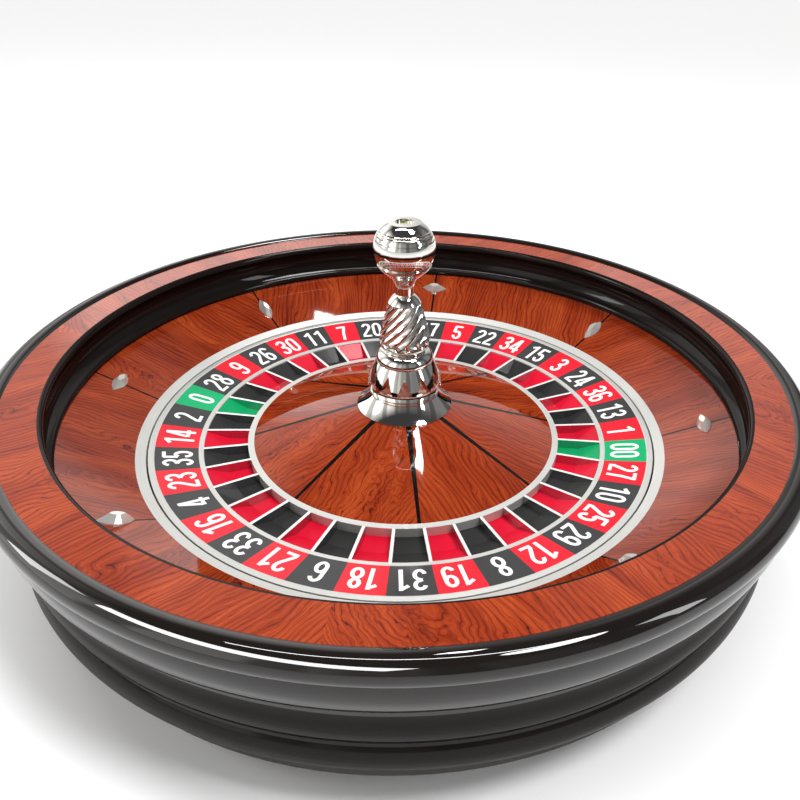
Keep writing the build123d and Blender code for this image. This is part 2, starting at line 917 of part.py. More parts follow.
def build_rotor():
    bolt_set, bolt_holes = rotor_bolts()
    save("rotor_pan", rotor_pan(bolt_holes))
    save("rotor_bolts", *bolt_set)
    save("number_carrier", number_carrier())
    save("rotor_rim", rotor_rim())
    save("middle_ring", turned(*ring_band(pocket_outer, number_inner)))
    panels = coloured_sectors(ring_band(number_inner, number_ring_radius))
    cups = coloured_sectors(pocket_outline())
    for colour in ("red", "black", "green"):
        save(f"number_panels_{colour}", *panels[colour])
        save(f"pocket_linings_{colour}", *cups[colour])
    save("frets", *frets())
    save("inner_ring", inner_ring())
    save("cone_board", cone_board())
    cone_panels, cone_inlays = cone_pieces()
    save("cone_panels", *pieces(cone_panels))
    save("cone_inlays", *cone_inlays)
    save("bearing_housing", bearing_housing(bolt_holes))
    save("outer_races", outer_race(shoulder), outer_race(upper_foot))
    save("housing_cap", housing_cap())


def build_turret():
    save("turret_flange", turret_flange())
    save("turret_bell", turret_bell())
    save("turret_collar", turret_collar())
    save("turret_column", turret_column())
    save("turret_neck", turret_neck())
    save("finial", finial())
    save("finial_button", finial_button())
    save("tie_rod", tie_rod())


def build_moving_sets():
    save("ball_set_lower", *ball_set(shoulder))
    save("ball_set_upper", *ball_set(upper_foot))
    for k, (x, y) in enumerate(around(foot_count, foot_circle, 30)):
        save(f"levelling_foot_{k + 1}", levelling_foot(x, y))


os.makedirs("parts", exist_ok=True)
build_bowl()
build_rotor()
build_turret()
build_moving_sets()
print("wheel diameter", round(2 * wheel_radius, 1), "height", round(finial_top, 1))
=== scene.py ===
from math import cos, pi, radians, sin, tan

import bpy
from mathutils import Matrix, Vector


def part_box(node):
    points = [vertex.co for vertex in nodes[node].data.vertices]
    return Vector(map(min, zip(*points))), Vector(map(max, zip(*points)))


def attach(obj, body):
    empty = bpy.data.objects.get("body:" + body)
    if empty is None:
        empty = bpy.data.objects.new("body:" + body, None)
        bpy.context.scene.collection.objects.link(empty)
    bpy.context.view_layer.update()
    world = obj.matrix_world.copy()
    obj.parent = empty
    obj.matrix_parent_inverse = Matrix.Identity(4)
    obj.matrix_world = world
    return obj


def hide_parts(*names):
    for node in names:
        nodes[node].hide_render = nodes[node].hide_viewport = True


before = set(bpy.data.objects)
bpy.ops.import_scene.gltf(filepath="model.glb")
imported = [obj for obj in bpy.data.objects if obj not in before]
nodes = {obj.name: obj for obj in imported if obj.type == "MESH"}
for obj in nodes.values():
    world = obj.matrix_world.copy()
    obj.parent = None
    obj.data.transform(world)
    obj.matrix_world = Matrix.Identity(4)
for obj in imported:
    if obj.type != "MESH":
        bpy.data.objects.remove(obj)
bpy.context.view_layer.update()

mm = 0.001


# node graph shorthand
def freshMaterial(name):
    material = bpy.data.materials.new(name)
    material.use_nodes = True
    tree = material.node_tree
    tree.nodes.clear()
    output = tree.nodes.new("ShaderNodeOutputMaterial")
    shader = tree.nodes.new("ShaderNodeBsdfPrincipled")
    tree.links.new(shader.outputs[0], output.inputs[0])
    return material, tree, shader


def plug(tree, value, socket):
    if isinstance(value, bpy.types.NodeSocket):
        tree.links.new(value, socket)
    else:
        socket.default_value = value


def maths(tree, work, first, second=0.0, third=0.0):
    node = tree.nodes.new("ShaderNodeMath")
    node.operation = work
    for value, socket in zip((first, second, third), node.inputs):
        plug(tree, value, socket)
    return node.outputs[0]


def times(tree, first, second):
    return maths(tree, "MULTIPLY", first, second)


def joined(tree, x, y, z):
    node = tree.nodes.new("ShaderNodeCombineXYZ")
    for value, socket in zip((x, y, z), node.inputs):
        plug(tree, value, socket)
    return node.outputs[0]


def split(tree, vector):
    node = tree.nodes.new("ShaderNodeSeparateXYZ")
    plug(tree, vector, node.inputs[0])
    return node.outputs[0], node.outputs[1], node.outputs[2]


def noise(tree, vector, scale, detail=3.0, roughness=0.5, distortion=0.0):
    node = tree.nodes.new("ShaderNodeTexNoise")
    plug(tree, vector, node.inputs["Vector"])
    node.inputs["Scale"].default_value = scale
    node.inputs["Detail"].default_value = detail
    node.inputs["Roughness"].default_value = roughness
    node.inputs["Distortion"].default_value = distortion
    return node.outputs["Fac"]


def ramp(tree, value, stops):
    node = tree.nodes.new("ShaderNodeValToRGB")
    plug(tree, value, node.inputs[0])
    marks = node.color_ramp.elements
    while len(marks) < len(stops):
        marks.new(0.5)
    for mark, (place, colour) in zip(marks, stops):
        mark.position = place
        mark.color = (*colour, 1.0)
    return node.outputs[0]


def mixed(tree, factor, first, second):
    node = tree.nodes.new("ShaderNodeMix")
    node.data_type = "RGBA"
    plug(tree, factor, node.inputs["Factor"])
    for value, socket in ((first, node.inputs["A"]), (second, node.inputs["B"])):
        if isinstance(value, tuple):
            value = (*value, 1.0)
        plug(tree, value, socket)
    return node.outputs["Result"]


def fitted(tree, value, low, high, start=0.0, end=1.0):
    node = tree.nodes.new("ShaderNodeMapRange")
    plug(tree, value, node.inputs["Value"])
    node.inputs["From Min"].default_value = low
    node.inputs["From Max"].default_value = high
    node.inputs["To Min"].default_value = start
    node.inputs["To Max"].default_value = end
    return node.outputs[0]


def bump(tree, height, strength, distance):
    node = tree.nodes.new("ShaderNodeBump")
    plug(tree, height, node.inputs["Height"])
    node.inputs["Strength"].default_value = strength
    node.inputs["Distance"].default_value = distance
    return node.outputs["Normal"]


def objectPlace(tree):
    return tree.nodes.new("ShaderNodeTexCoord").outputs["Object"]


def lengthOf(tree, x, y):
    return maths(tree, "SQRT", maths(tree, "MULTIPLY_ADD", y, y, times(tree, x, x)))


def scaled(colour, share):
    return tuple(part * share for part in colour)


def dress(material, *names):
    for name in names:
        thing = nodes[name]
        thing.data.materials.clear()
        thing.data.materials.append(material)


def madePiece(name, verts, faces):
    mesh = bpy.data.meshes.new(name)
    mesh.from_pydata(verts, [], faces)
    mesh.update()
    thing = bpy.data.objects.new(name, mesh)
    bpy.context.scene.collection.objects.link(thing)
    return thing


def smoothed(thing, keepEdges):
    thing.data.shade_smooth()
    thing.data.set_sharp_from_angle(angle=radians(keepEdges))


# rosewood veneer, laid in book-matched wedges round the wheel
rosewood = dict(
    wedges=8,
    light=(0.40, 0.061, 0.0140),
    middle=(0.262, 0.030, 0.0072),
    deep=(0.105, 0.0100, 0.0034),
    vein=(0.020, 0.0040, 0.0032),
    veinsPerMetre=190.0,
    veinWidth=0.084,
    veinDepth=0.93,
    veinBreaks=(0.38, 0.60, 0.12, 1.0),
    faintCount=2.6,
    faintWidth=0.16,
    faintBreaks=(0.64, 0.42, 0.15, 0.75),
    swirl=10.0,
    ripple=0.75,
    burl=(0.56, 0.72, 0.0, 5.5),
    waveShare=0.34,
    bandShare=0.92,
    tonePlaces=(0.27, 0.48, 0.72),
    fibreShade=(0.35, 0.75, 0.0, 0.5),
    leafStep=3.7,
    otherLeaf=9.0,
    roughness=0.42,
    coatRoughness=0.03,
    flowScale=14.0,
    flow=(0.12, 1.2 * mm),
    pores=(0.15, 0.12 * mm),
    # scale along and across the grain, detail, roughness and distortion of each cloud
    clouds=dict(
        wide=(8.0, 17.0, 2.0, 0.5, 0.3),
        small=(55.0, 120.0, 3.0, 0.55, 0.0),
        fibre=(60.0, 1500.0, 2.0, 0.6, 0.0),
        knots=(9.0, 12.0, 1.0, 0.5, 0.0),
        curl=(40.0, 52.0, 2.0, 0.5, 0.8),
        broken=(26.0, 95.0, 2.0, 0.5, 0.0),
        broad=(7.0, 42.0, 4.0, 0.55, 0.4),
    ),
)


def wedgePlace(tree, start, tilt):
    # grain runs out along each wedge's middle line, mirrored in every second wedge
    x, y, z = split(tree, objectPlace(tree))
    share = 2 * pi / rosewood["wedges"]
    turn = maths(tree, "SUBTRACT", maths(tree, "ARCTAN2", y, x), radians(start))
    count = maths(tree, "DIVIDE", turn, share)
    index = maths(tree, "FLOOR", count)
    fromMiddle = maths(tree, "SUBTRACT", maths(tree, "SUBTRACT", count, index), 0.5)
    odd = maths(tree, "FLOORED_MODULO", index, 2.0)
    mirror = maths(tree, "MULTIPLY_ADD", odd, -2.0, 1.0)
    local = times(tree, times(tree, fromMiddle, share), mirror)
    radius = lengthOf(tree, x, y)
    along = times(tree, radius, maths(tree, "COSINE", local))
    across = times(tree, radius, maths(tree, "SINE", local))
    tilted = maths(tree, "MULTIPLY_ADD", across, tilt, along)
    across = maths(tree, "MULTIPLY_ADD", along, -tilt, across)
    pair = times(tree, maths(tree, "SUBTRACT", index, odd), 0.5)
    return tilted, across, pair


def grainCloud(tree, along, across, leaf, key):
    alongScale, acrossScale, detail, roughness, distortion = rosewood["clouds"][key]
    place = joined(tree, times(tree, along, alongScale), times(tree, across, acrossScale), leaf)
    return noise(tree, place, 1.0, detail, roughness, distortion)


def thinLines(tree, value, width):
    wave = maths(tree, "PINGPONG", value, 0.5)
    return wave, fitted(tree, wave, 0.0, width, 1.0, 0.0)


def rosewoodVeneer(name, start, seed, tilt, lift):
    look = rosewood
    material, tree, shader = freshMaterial(name)
    along, across, pair = wedgePlace(tree, start, tilt)
    leaf = maths(tree, "MULTIPLY_ADD", pair, look["leafStep"], seed)
    leafTwo = maths(tree, "ADD", leaf, look["otherLeaf"])
    wide, small, fibre = (grainCloud(tree, along, across, leaf, key) for key in ("wide", "small", "fibre"))
    others = ("knots", "curl", "broken", "broad")
    knots, curl, broken, broad = (grainCloud(tree, along, across, leafTwo, key) for key in others)
    # year rings, pushed about by the clouds
    rings = times(tree, across, look["veinsPerMetre"])
    rings = maths(tree, "MULTIPLY_ADD", wide, look["swirl"], rings)
    rings = maths(tree, "MULTIPLY_ADD", small, look["ripple"], rings)
    rings = maths(tree, "MULTIPLY_ADD", fitted(tree, knots, *look["burl"]), curl, rings)
    wave, thin = thinLines(tree, rings, look["veinWidth"])
    between = maths(tree, "MULTIPLY_ADD", rings, look["faintCount"], small)
    faint = thinLines(tree, between, look["faintWidth"])[1]
    vein = times(tree, thin, fitted(tree, broken, *look["veinBreaks"]))
    faint = times(tree, faint, fitted(tree, broken, *look["faintBreaks"]))
    figure = maths(tree, "MULTIPLY_ADD", wave, look["waveShare"], times(tree, broad, look["bandShare"]))
    tones = [scaled(look[key], lift) for key in ("deep", "middle", "light")]
    colour = ramp(tree, figure, list(zip(look["tonePlaces"], tones)))
    colour = mixed(tree, fitted(tree, fibre, *look["fibreShade"]), colour, tones[0])
    colour = mixed(tree, faint, colour, tones[0])
    colour = mixed(tree, times(tree, vein, look["veinDepth"]), colour, look["vein"])
    plug(tree, colour, shader.inputs["Base Color"])
    shader.inputs["Roughness"].default_value = look["roughness"]
    shader.inputs["Specular IOR Level"].default_value = 0.0
    shader.inputs["Coat Weight"].default_value = 1.0
    shader.inputs["Coat Roughness"].default_value = look["coatRoughness"]
    shader.inputs["Coat IOR"].default_value = 1.5
    # lacquer follows the slow waviness of the leaves under it
    flow = noise(tree, objectPlace(tree), look["flowScale"], 1.0)
    plug(tree, bump(tree, flow, *look["flow"]), shader.inputs["Coat Normal"])
    plug(tree, bump(tree, maths(tree, "SUBTRACT", fibre, vein), *look["pores"]), shader.inputs["Normal"])
    return material


coneStart = 12.6  # degrees from +X to one of the cone inlays
dress(rosewoodVeneer("coneRosewood", coneStart, 4.1, tilt=0.12, lift=1.0), "cone_panels")
dress(rosewoodVeneer("apronRosewood", 0.0, 11.4, tilt=-0.2, lift=0.92), "apron_panels")
dress(rosewoodVeneer("rimRosewood", 0.0, 23.8, tilt=0.3, lift=1.12), "rim_veneer")
print("veneers dressed")


# black lacquer on the turned mouldings
lacquer = dict(
    colour=(0.0060, 0.0046, 0.0040),
    hazeScale=6.0,
    wearScale=40.0,
    roughness=(0.25, 0.38),
    coatRoughness=0.025,
    peelScale=90.0,
    peel=(0.04, 0.4 * mm),
)


def blackLacquer(name, coat, coatIndex):
    material, tree, shader = freshMaterial(name)
    place = objectPlace(tree)
    haze = noise(tree, place, lacquer["hazeScale"], 3.0, 0.6)
    colour = mixed(tree, haze, lacquer["colour"], scaled(lacquer["colour"], 2.0))
    plug(tree, colour, shader.inputs["Base Color"])
    wear = noise(tree, place, lacquer["wearScale"], 4.0)
    plug(tree, fitted(tree, wear, 0.3, 0.7, *lacquer["roughness"]), shader.inputs["Roughness"])
    shader.inputs["Specular IOR Level"].default_value = 0.0
    shader.inputs["Coat Weight"].default_value = coat
    shader.inputs["Coat IOR"].default_value = coatIndex
    shader.inputs["Coat Roughness"].default_value = lacquer["coatRoughness"]
    peel = noise(tree, place, lacquer["peelScale"], 1.0)
    plug(tree, bump(tree, peel, *lacquer["peel"]), shader.inputs["Coat Normal"])
    return material


inlay = dict(dark=(0.0025, 0.002, 0.002), pale=(0.009, 0.007, 0.006), pores=300.0, roughness=0.3)


def ebony():
    material, tree, shader = freshMaterial("ebonyInlay")
    x, y, z = split(tree, objectPlace(tree))
    place = joined(tree, times(tree, x, inlay["pores"]), times(tree, y, inlay["pores"]), z)
    pore = noise(tree, place, 1.0, 4.0)
    colour = ramp(tree, pore, [(0.35, inlay["dark"]), (0.7, inlay["pale"])])
    plug(tree, colour, shader.inputs["Base Color"])
    shader.inputs["Roughness"].default_value = inlay["roughness"]
    shader.inputs["Specular IOR Level"].default_value = 0.0
    shader.inputs["Coat Weight"].default_value = 0.7
    shader.inputs["Coat Roughness"].default_value = 0.05
    return material


# turned pieces again, on a finer lathe, from the model's own section
lathe = dict(pointsRound=480, keepEdges=28.0, snap=7, flatWithin=1e-6)


def sectionOf(name):
    # the edges of a turned solid that lie in the plane y = 0, joined end to end
    mesh = nodes[name].data
    links = {}
    for face in mesh.polygons:
        corners = [mesh.vertices[k].co for k in face.vertices]
        flat = [abs(c.y) < lathe["flatWithin"] and c.x > 0 for c in corners]
        if all(flat):
            continue
        for k in range(len(corners)):
            n = (k + 1) % len(corners)
            if flat[k] and flat[n]:
                a, b = (tuple(round(v, lathe["snap"]) for v in (c.x, c.z)) for c in (corners[k], corners[n]))
                if a != b:
                    links.setdefault(a, set()).add(b)
                    links.setdefault(b, set()).add(a)
    left = set(links)
    chains = []
    while left:
        ends = [p for p in left if len(links[p] & left) < 2] or list(left)
        chain = [min(ends)]
        left.discard(chain[0])
        while links[chain[-1]] & left:
            chain.append(min(links[chain[-1]] & left))
            left.discard(chain[-1])
        chains.append(chain)
    loop = max(chains, key=len)
    chains.remove(loop)
    while chains:
        tail = Vector(loop[-1])
        gaps = [min((Vector(c[0]) - tail).length, (Vector(c[-1]) - tail).length) for c in chains]
        chain = chains.pop(gaps.index(min(gaps)))
        if (Vector(chain[-1]) - tail).length < (Vector(chain[0]) - tail).length:
            chain.reverse()
        loop += chain
    turnedArea = sum(Vector(loop[k - 1]).cross(Vector(loop[k])) for k in range(len(loop)))
    return loop if turnedArea > 0 else loop[::-1]


def scored(section, lines):
    # thin lines cut into the outside of a section at given heights
    for line in lines:
        half = line["width"] / 2
        levels = [(line["at"] - half, 0.0), (line["at"], line["depth"]), (line["at"] + half, 0.0)]
        cut = []
        for k, (radius, z) in enumerate(section):
            lastRadius, lastZ = section[k - 1]
            if min(radius, lastRadius) > line["outside"]:
                crossed = [pair for pair in levels if min(z, lastZ) < pair[0] <= max(z, lastZ)]
                for height, dip in sorted(crossed, key=lambda pair: abs(pair[0] - lastZ)):
                    share = (height - lastZ) / (z - lastZ)
                    cut.append((lastRadius + (radius - lastRadius) * share - dip, height))
                if abs(z - line["at"]) < half:
                    continue
            cut.append((radius, z))
        section = cut
    return section


def turnedAgain(name, pieceName, body, material, lines=()):
    section = scored(sectionOf(name), lines)
    around, count = lathe["pointsRound"], len(section)
    verts, faces = [], []
    for step in range(around):
        angle = 2 * pi * step / around
        verts += [(radius * cos(angle), radius * sin(angle), z) for radius, z in section]
        after = (step + 1) % around
        for k in range(count):
            n = (k + 1) % count
            faces.append((step * count + k, step * count + n, after * count + n, after * count + k)[::-1])
    thing = madePiece(pieceName, verts, faces)
    smoothed(thing, lathe["keepEdges"])
    thing.data.materials.append(material)
    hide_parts(name)
    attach(thing, body)
    print(pieceName, "turned from", count, "points")
    return thing


gloss = blackLacquer("blackLacquer", 0.38, 1.42)
lipGloss = blackLacquer("lipLacquer", 1.0, 1.5)
dress(gloss, "plinth_ring")
lip = turnedAgain("upper_moulding", "turnedLip", "bowl", lipGloss)
rolls = turnedAgain("lower_moulding", "turnedRolls", "bowl", gloss)
turnedAgain("ball_track", "turnedTrack", "bowl", gloss)
dress(ebony(), "apron_inlays", "cone_inlays")
print("lacquer dressed")


# silver rings: turned on a lathe, so the fine marks run round them
silver = dict(
    colour=(0.66, 0.66, 0.63),
    metallic=0.45,
    roughness=(0.30, 0.44),
    marksPerMetre=2600.0,
    marksRound=6.0,
    cloudScale=25.0,
    marks=(0.12, 0.06 * mm),
)


def turnedSilver():
    material, tree, shader = freshMaterial("satinSilver")
    place = objectPlace(tree)
    x, y, z = split(tree, place)
    out = times(tree, lengthOf(tree, x, y), silver["marksPerMetre"])
    sweep = times(tree, maths(tree, "ARCTAN2", y, x), silver["marksRound"])
    marks = noise(tree, joined(tree, out, sweep, z), 1.0, 2.0, 0.6)
    cloud = noise(tree, place, silver["cloudScale"], 3.0)
    base = silver["colour"]
    colour = mixed(tree, fitted(tree, marks, 0.3, 0.7), base, scaled(base, 0.86))
    colour = mixed(tree, fitted(tree, cloud, 0.4, 0.7, 0.0, 0.3), colour, scaled(base, 0.8))
    plug(tree, colour, shader.inputs["Base Color"])
    shader.inputs["Metallic"].default_value = silver["metallic"]
    plug(tree, fitted(tree, marks, 0.2, 0.8, *silver["roughness"]), shader.inputs["Roughness"])
    plug(tree, bump(tree, marks, *silver["marks"]), shader.inputs["Normal"])
    return material


frets = dict(
    sides=((0.60, 0.60, 0.60), (0.48, 0.48, 0.48)),
    # paler colours painted on the upward-facing top edges, a painted highlight
    paintedHighlightTops=((0.84, 0.84, 0.83), (0.74, 0.74, 0.72)),
    sideMetal=1.0,
    topMetal=0.25,
    roughness=(0.14, 0.24),
    smearScale=220.0,
)


def fretSilver():
    # painted highlight: the upward-facing top edges get a paler colour and little metal, so they show as
    # light lines; the upright sides stay darker, polished metal
    material, tree, shader = freshMaterial("fretSilver")
    smear = noise(tree, objectPlace(tree), frets["smearScale"], 3.0, 0.6)
    upright = split(tree, tree.nodes.new("ShaderNodeNewGeometry").outputs["Normal"])[2]
    top = fitted(tree, upright, 0.5, 0.8)
    side = mixed(tree, smear, *frets["sides"])
    paintedHighlightTone = mixed(tree, smear, *frets["paintedHighlightTops"])
    plug(tree, mixed(tree, top, side, paintedHighlightTone), shader.inputs["Base Color"])
    metal = fitted(tree, top, 0.0, 1.0, frets["sideMetal"], frets["topMetal"])
    plug(tree, metal, shader.inputs["Metallic"])
    plug(tree, fitted(tree, smear, 0.3, 0.7, *frets["roughness"]), shader.inputs["Roughness"])
    plug(tree, bump(tree, smear, 0.05, 0.05 * mm), shader.inputs["Normal"])
    return material


dress(turnedSilver(), "apron_trim_ring", "rotor_rim", "middle_ring", "inner_ring")
dress(fretSilver(), "frets")


# mirror chrome on the turret and the deflectors
chrome = dict(
    colour=(0.70, 0.688, 0.650),
    dull=0.82,
    roughness=0.035,
    tarnish=0.05,
    smearScale=60.0,
    grit=(0.02, 0.05 * mm),
)


def mirrorChrome(name, metallic, roughness):
    material, tree, shader = freshMaterial(name)
    place = objectPlace(tree)
    smear = noise(tree, place, chrome["smearScale"], 4.0, 0.6, 0.3)
    patch = fitted(tree, smear, 0.45, 0.8, 0.0, 0.3)
    colour = mixed(tree, patch, chrome["colour"], scaled(chrome["colour"], chrome["dull"]))
    plug(tree, colour, shader.inputs["Base Color"])
    shader.inputs["Metallic"].default_value = metallic
    tarnished = roughness + chrome["tarnish"]
    plug(tree, fitted(tree, smear, 0.3, 0.8, roughness, tarnished), shader.inputs["Roughness"])
    plug(tree, bump(tree, noise(tree, place, 300.0, 2.0), *chrome["grit"]), shader.inputs["Normal"])
    return material


chromeFinish = mirrorChrome("mirrorChrome", 1.0, chrome["roughness"])
studFinish = mirrorChrome("studChrome", 0.55, chrome["roughness"] + 0.06)
turret = ["turret_flange", "turret_bell", "turret_collar", "turret_column", "turret_neck", "finial"]
deflectors = [f"deflector_{k + 1}" for k in range(8)]
dress(chromeFinish, *turret)
dress(studFinish, *deflectors)

# two lines run round the finial's ball, at these depths in mm under its top
finialLines = dict(depthsDown=(7.9, 10.4), width=1.1 * mm, depth=0.5 * mm, outside=12 * mm)
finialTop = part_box("finial")[1][2]
ballLines = [dict(finialLines, at=finialTop - down * mm) for down in finialLines["depthsDown"]]
turnedAgain("finial", "turnedFinial", "rotor", chromeFinish, ballLines)
print("metal dressed")


# enamel on the number panels and the pocket linings
enamel = dict(
    panelRed=(0.70, 0.010, 0.026),
    panelBlack=(0.040, 0.040, 0.041),
    panelGreen=(0.0, 0.37, 0.135),
    liningRed=(0.60, 0.0020, 0.024),
    liningBlack=(0.022, 0.022, 0.022),
    liningGreen=(0.0, 0.30, 0.10),
    panelCoat=0.35,
    liningCoat=0.12,
    scuff=(0.35, 0.33, 0.32),
    cloudScale=18.0,
    scuffScale=130.0,
    grainScale=700.0,
    grain=(0.05, 0.08 * mm),
)


def enamelPaint(name, colour, roughness, wear, coat):
    material, tree, shader = freshMaterial(name)
    place = objectPlace(tree)
    cloud = noise(tree, place, enamel["cloudScale"], 3.0, 0.5)
    fine = noise(tree, place, enamel["grainScale"], 2.0, 0.6)
    shade = mixed(tree, fitted(tree, cloud, 0.3, 0.7), colour, scaled(colour, 0.86))
    worn = noise(tree, place, enamel["scuffScale"], 5.0, 0.75, 1.5)
    scuffed = fitted(tree, worn, 0.66, 0.8, 0.0, wear)
    plug(tree, mixed(tree, scuffed, shade, enamel["scuff"]), shader.inputs["Base Color"])
    plug(tree, fitted(tree, cloud, 0.3, 0.7, roughness, roughness + 0.1), shader.inputs["Roughness"])
    shader.inputs["Specular IOR Level"].default_value = 0.12
    shader.inputs["Coat Weight"].default_value = coat
    shader.inputs["Coat Roughness"].default_value = 0.12
    plug(tree, bump(tree, fine, *enamel["grain"]), shader.inputs["Normal"])
    return material


for tint in ("Red", "Black", "Green"):
    panel = enamelPaint(f"{tint.lower()}Panel", enamel["panel" + tint], 0.36, 0.05, enamel["panelCoat"])
    dress(panel, f"number_panels_{tint.lower()}")
    lining = enamelPaint(f"{tint.lower()}Lining", enamel["lining" + tint], 0.38, 0.10, enamel["liningCoat"])
    dress(lining, f"pocket_linings_{tint.lower()}")
print("enamel dressed")


# parts out of sight, and the little that shows of them
board = dict(dark=(0.20, 0.12, 0.06), pale=(0.42, 0.29, 0.17), roughness=0.62, grain=(12.0, 160.0, 700.0))


def plainBoard(name, tone):
    material, tree, shader = freshMaterial(name)
    axes = split(tree, objectPlace(tree))
    stretched = [times(tree, axis, scale) for axis, scale in zip(axes, board["grain"])]
    grain = noise(tree, joined(tree, *stretched), 1.0, 4.0, 0.6)
    stops = [(0.3, scaled(board["dark"], tone)), (0.7, scaled(board["pale"], tone))]
    plug(tree, ramp(tree, grain, stops), shader.inputs["Base Color"])
    shader.inputs["Roughness"].default_value = board["roughness"]
    plug(tree, bump(tree, grain, 0.2, 0.3 * mm), shader.inputs["Normal"])
    return material


# colour, least roughness and the pieces of each bare metal
bareMetals = dict(
    castAluminium=((0.62, 0.62, 0.63), 0.38, (
        "rotor_pan", "number_carrier", "bearing_housing", "housing_cap", "spindle_carrier")),
    groundSteel=((0.58, 0.58, 0.6), 0.2, (
        "inner_races", "outer_races", "ball_set_lower", "ball_set_upper",
        "spindle", "race_spacer", "spindle_nut", "tie_rod")),
    zincPlate=((0.52, 0.53, 0.55), 0.32, (
        "deflector_screws", "frame_screws", "carrier_bolts", "rotor_bolts", "foot_inserts")),
    buttonBrass=((0.78, 0.74, 0.42), 0.16, ("finial_button",)),
)


def machinedMetal(name, colour, roughness):
    material, tree, shader = freshMaterial(name)
    grit = noise(tree, objectPlace(tree), 450.0, 3.0, 0.6)
    plug(tree, mixed(tree, grit, colour, scaled(colour, 0.75)), shader.inputs["Base Color"])
    shader.inputs["Metallic"].default_value = 1.0
    plug(tree, fitted(tree, grit, 0.3, 0.7, roughness - 0.05, roughness + 0.1), shader.inputs["Roughness"])
    plug(tree, bump(tree, grit, 0.15, 0.1 * mm), shader.inputs["Normal"])
    return material


rubber = dict(dark=(0.012, 0.012, 0.012), pale=(0.03, 0.03, 0.03), speckScale=900.0, roughness=0.8)


def footRubber():
    material, tree, shader = freshMaterial("footRubber")
    speck = noise(tree, objectPlace(tree), rubber["speckScale"], 3.0)
    colour = ramp(tree, speck, [(0.3, rubber["dark"]), (0.7, rubber["pale"])])
    plug(tree, colour, shader.inputs["Base Color"])
    shader.inputs["Roughness"].default_value = rubber["roughness"]
    plug(tree, bump(tree, speck, 0.3, 0.2 * mm), shader.inputs["Normal"])
    return material


dress(plainBoard("birchBoard", 1.0), "apron_board", "cone_board")
dress(plainBoard("stainedBoard", 0.045), "rim_frame", "base_board")
for name, (colour, roughness, pieces) in bareMetals.items():
    dress(machinedMetal(name, colour, roughness), *pieces)
dress(footRubber(), "levelling_foot_1", "levelling_foot_2", "levelling_foot_3")
print("hidden parts dressed")


# numerals: condensed strokes on the number ring, tops outwards
numerals = dict(
    order="0 28 9 26 30 11 7 20 32 17 5 22 34 15 3 24 36 13 1 "
    "00 27 10 25 29 12 8 19 31 18 6 21 33 16 4 23 35 14 2",
    start=179.7,
    height=30.5 * mm,
    wide=0.405,
    gap=0.062,
    stroke=0.122,
    thick=0.05 * mm,
    layerStep=0.25,
    fromRim=22.3 * mm,
    ringSlope=10.0,
    arcSteps=14,
    mitreLimit=0.6,
    closedWithin=1e-4,
)
panelRim = max(vert.co.xy.length for vert in nodes["number_panels_red"].data.vertices)
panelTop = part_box("number_panels_red")[1][2]


def bend(cx, cy, rx, ry, fromTurn, toTurn):
    steps = numerals["arcSteps"] * (2 if abs(toTurn - fromTurn) >= 360 else 1)
    turns = [radians(fromTurn + (toTurn - fromTurn) * k / steps) for k in range(steps + 1)]
    return [(cx + rx * cos(t), cy + ry * sin(t)) for t in turns]


def digitStrokes():
    # centre lines in a box as wide as numerals["wide"] and one high
    w = numerals["wide"]
    h = numerals["stroke"] / 2
    c = w / 2
    r = c - h
    six = [bend(c, 0.29, r, 0.29 - h, 0, 360), bend(c, 0.74, r, 0.26 - h, 12, 180) + [(h, 0.29)]]
    waist = (c - 0.07, 0.525)
    return {
        "0": [bend(c, 0.72, r, 0.28 - h, 0, 180) + bend(c, 0.28, r, 0.28 - h, 180, 360) + [(w - h, 0.72)]],
        "1": [[(c + 0.06, 0.0), (c + 0.06, 1.0)], [(c + 0.04, 0.93), (c - 0.15, 0.78)]],
        "2": [
            bend(c, 0.745, r, 0.255 - h, 175, -20) + [(w - h - 0.03, 0.6), (h + 0.01, 0.16), (h + 0.01, h)],
            [(h - 0.05, h), (w - 0.01, h)],
        ],
        "3": [
            bend(c - 0.01, 0.75, r, 0.25 - h, 168, -82) + [waist],
            [waist] + bend(c, 0.275, r, 0.275 - h, 78, -168),
        ],
        "4": [
            [(c + 0.08, 0.0), (c + 0.08, 1.0)],
            [(c + 0.05, 0.97), (h - 0.02, 0.28)],
            [(0.0, 0.245), (w + 0.01, 0.245)],
        ],
        "5": [
            [(w - 0.02, 1 - h), (h + 0.01, 1 - h)],
            [(h + 0.015, 1 - h + 0.03), (h, 0.5)],
            bend(c, 0.315, r, 0.315 - h, 142, -168),
        ],
        "6": six,
        "7": [[(0.0, 1 - h), (w, 1 - h)], [(w - h + 0.005, 1 - h), (c + 0.02, 0.5), (c - 0.055, 0.0)]],
        "8": [bend(c, 0.755, r * 0.88, 0.245 - h, 0, 360), bend(c, 0.28, r, 0.28 - h, 0, 360)],
        "9": [[(w - x, 1 - y) for x, y in line] for line in six],
    }


def ribbon(line, width):
    # left and right edges of a stroke along its centre line
    points = [Vector(point) for point in line]
    closed = (points[0] - points[-1]).length < numerals["closedWithin"]
    last = len(points) - 1
    left, right = [], []
    for k, here in enumerate(points):
        before = points[k - 1] if k > 0 else (points[-2] if closed else None)
        after = points[k + 1] if k < last else (points[1] if closed else None)
        ways = []
        if before is not None:
            ways.append((here - before).normalized())
        if after is not None:
            ways.append((after - here).normalized())
        way = sum(ways, Vector((0, 0))).normalized()
        across = Vector((-way.y, way.x))
        square = across.dot(Vector((-ways[0].y, ways[0].x)))
        reach = across * width / 2 / max(square, numerals["mitreLimit"])
        left.append(here + reach)
        right.append(here - reach)
    return left, right


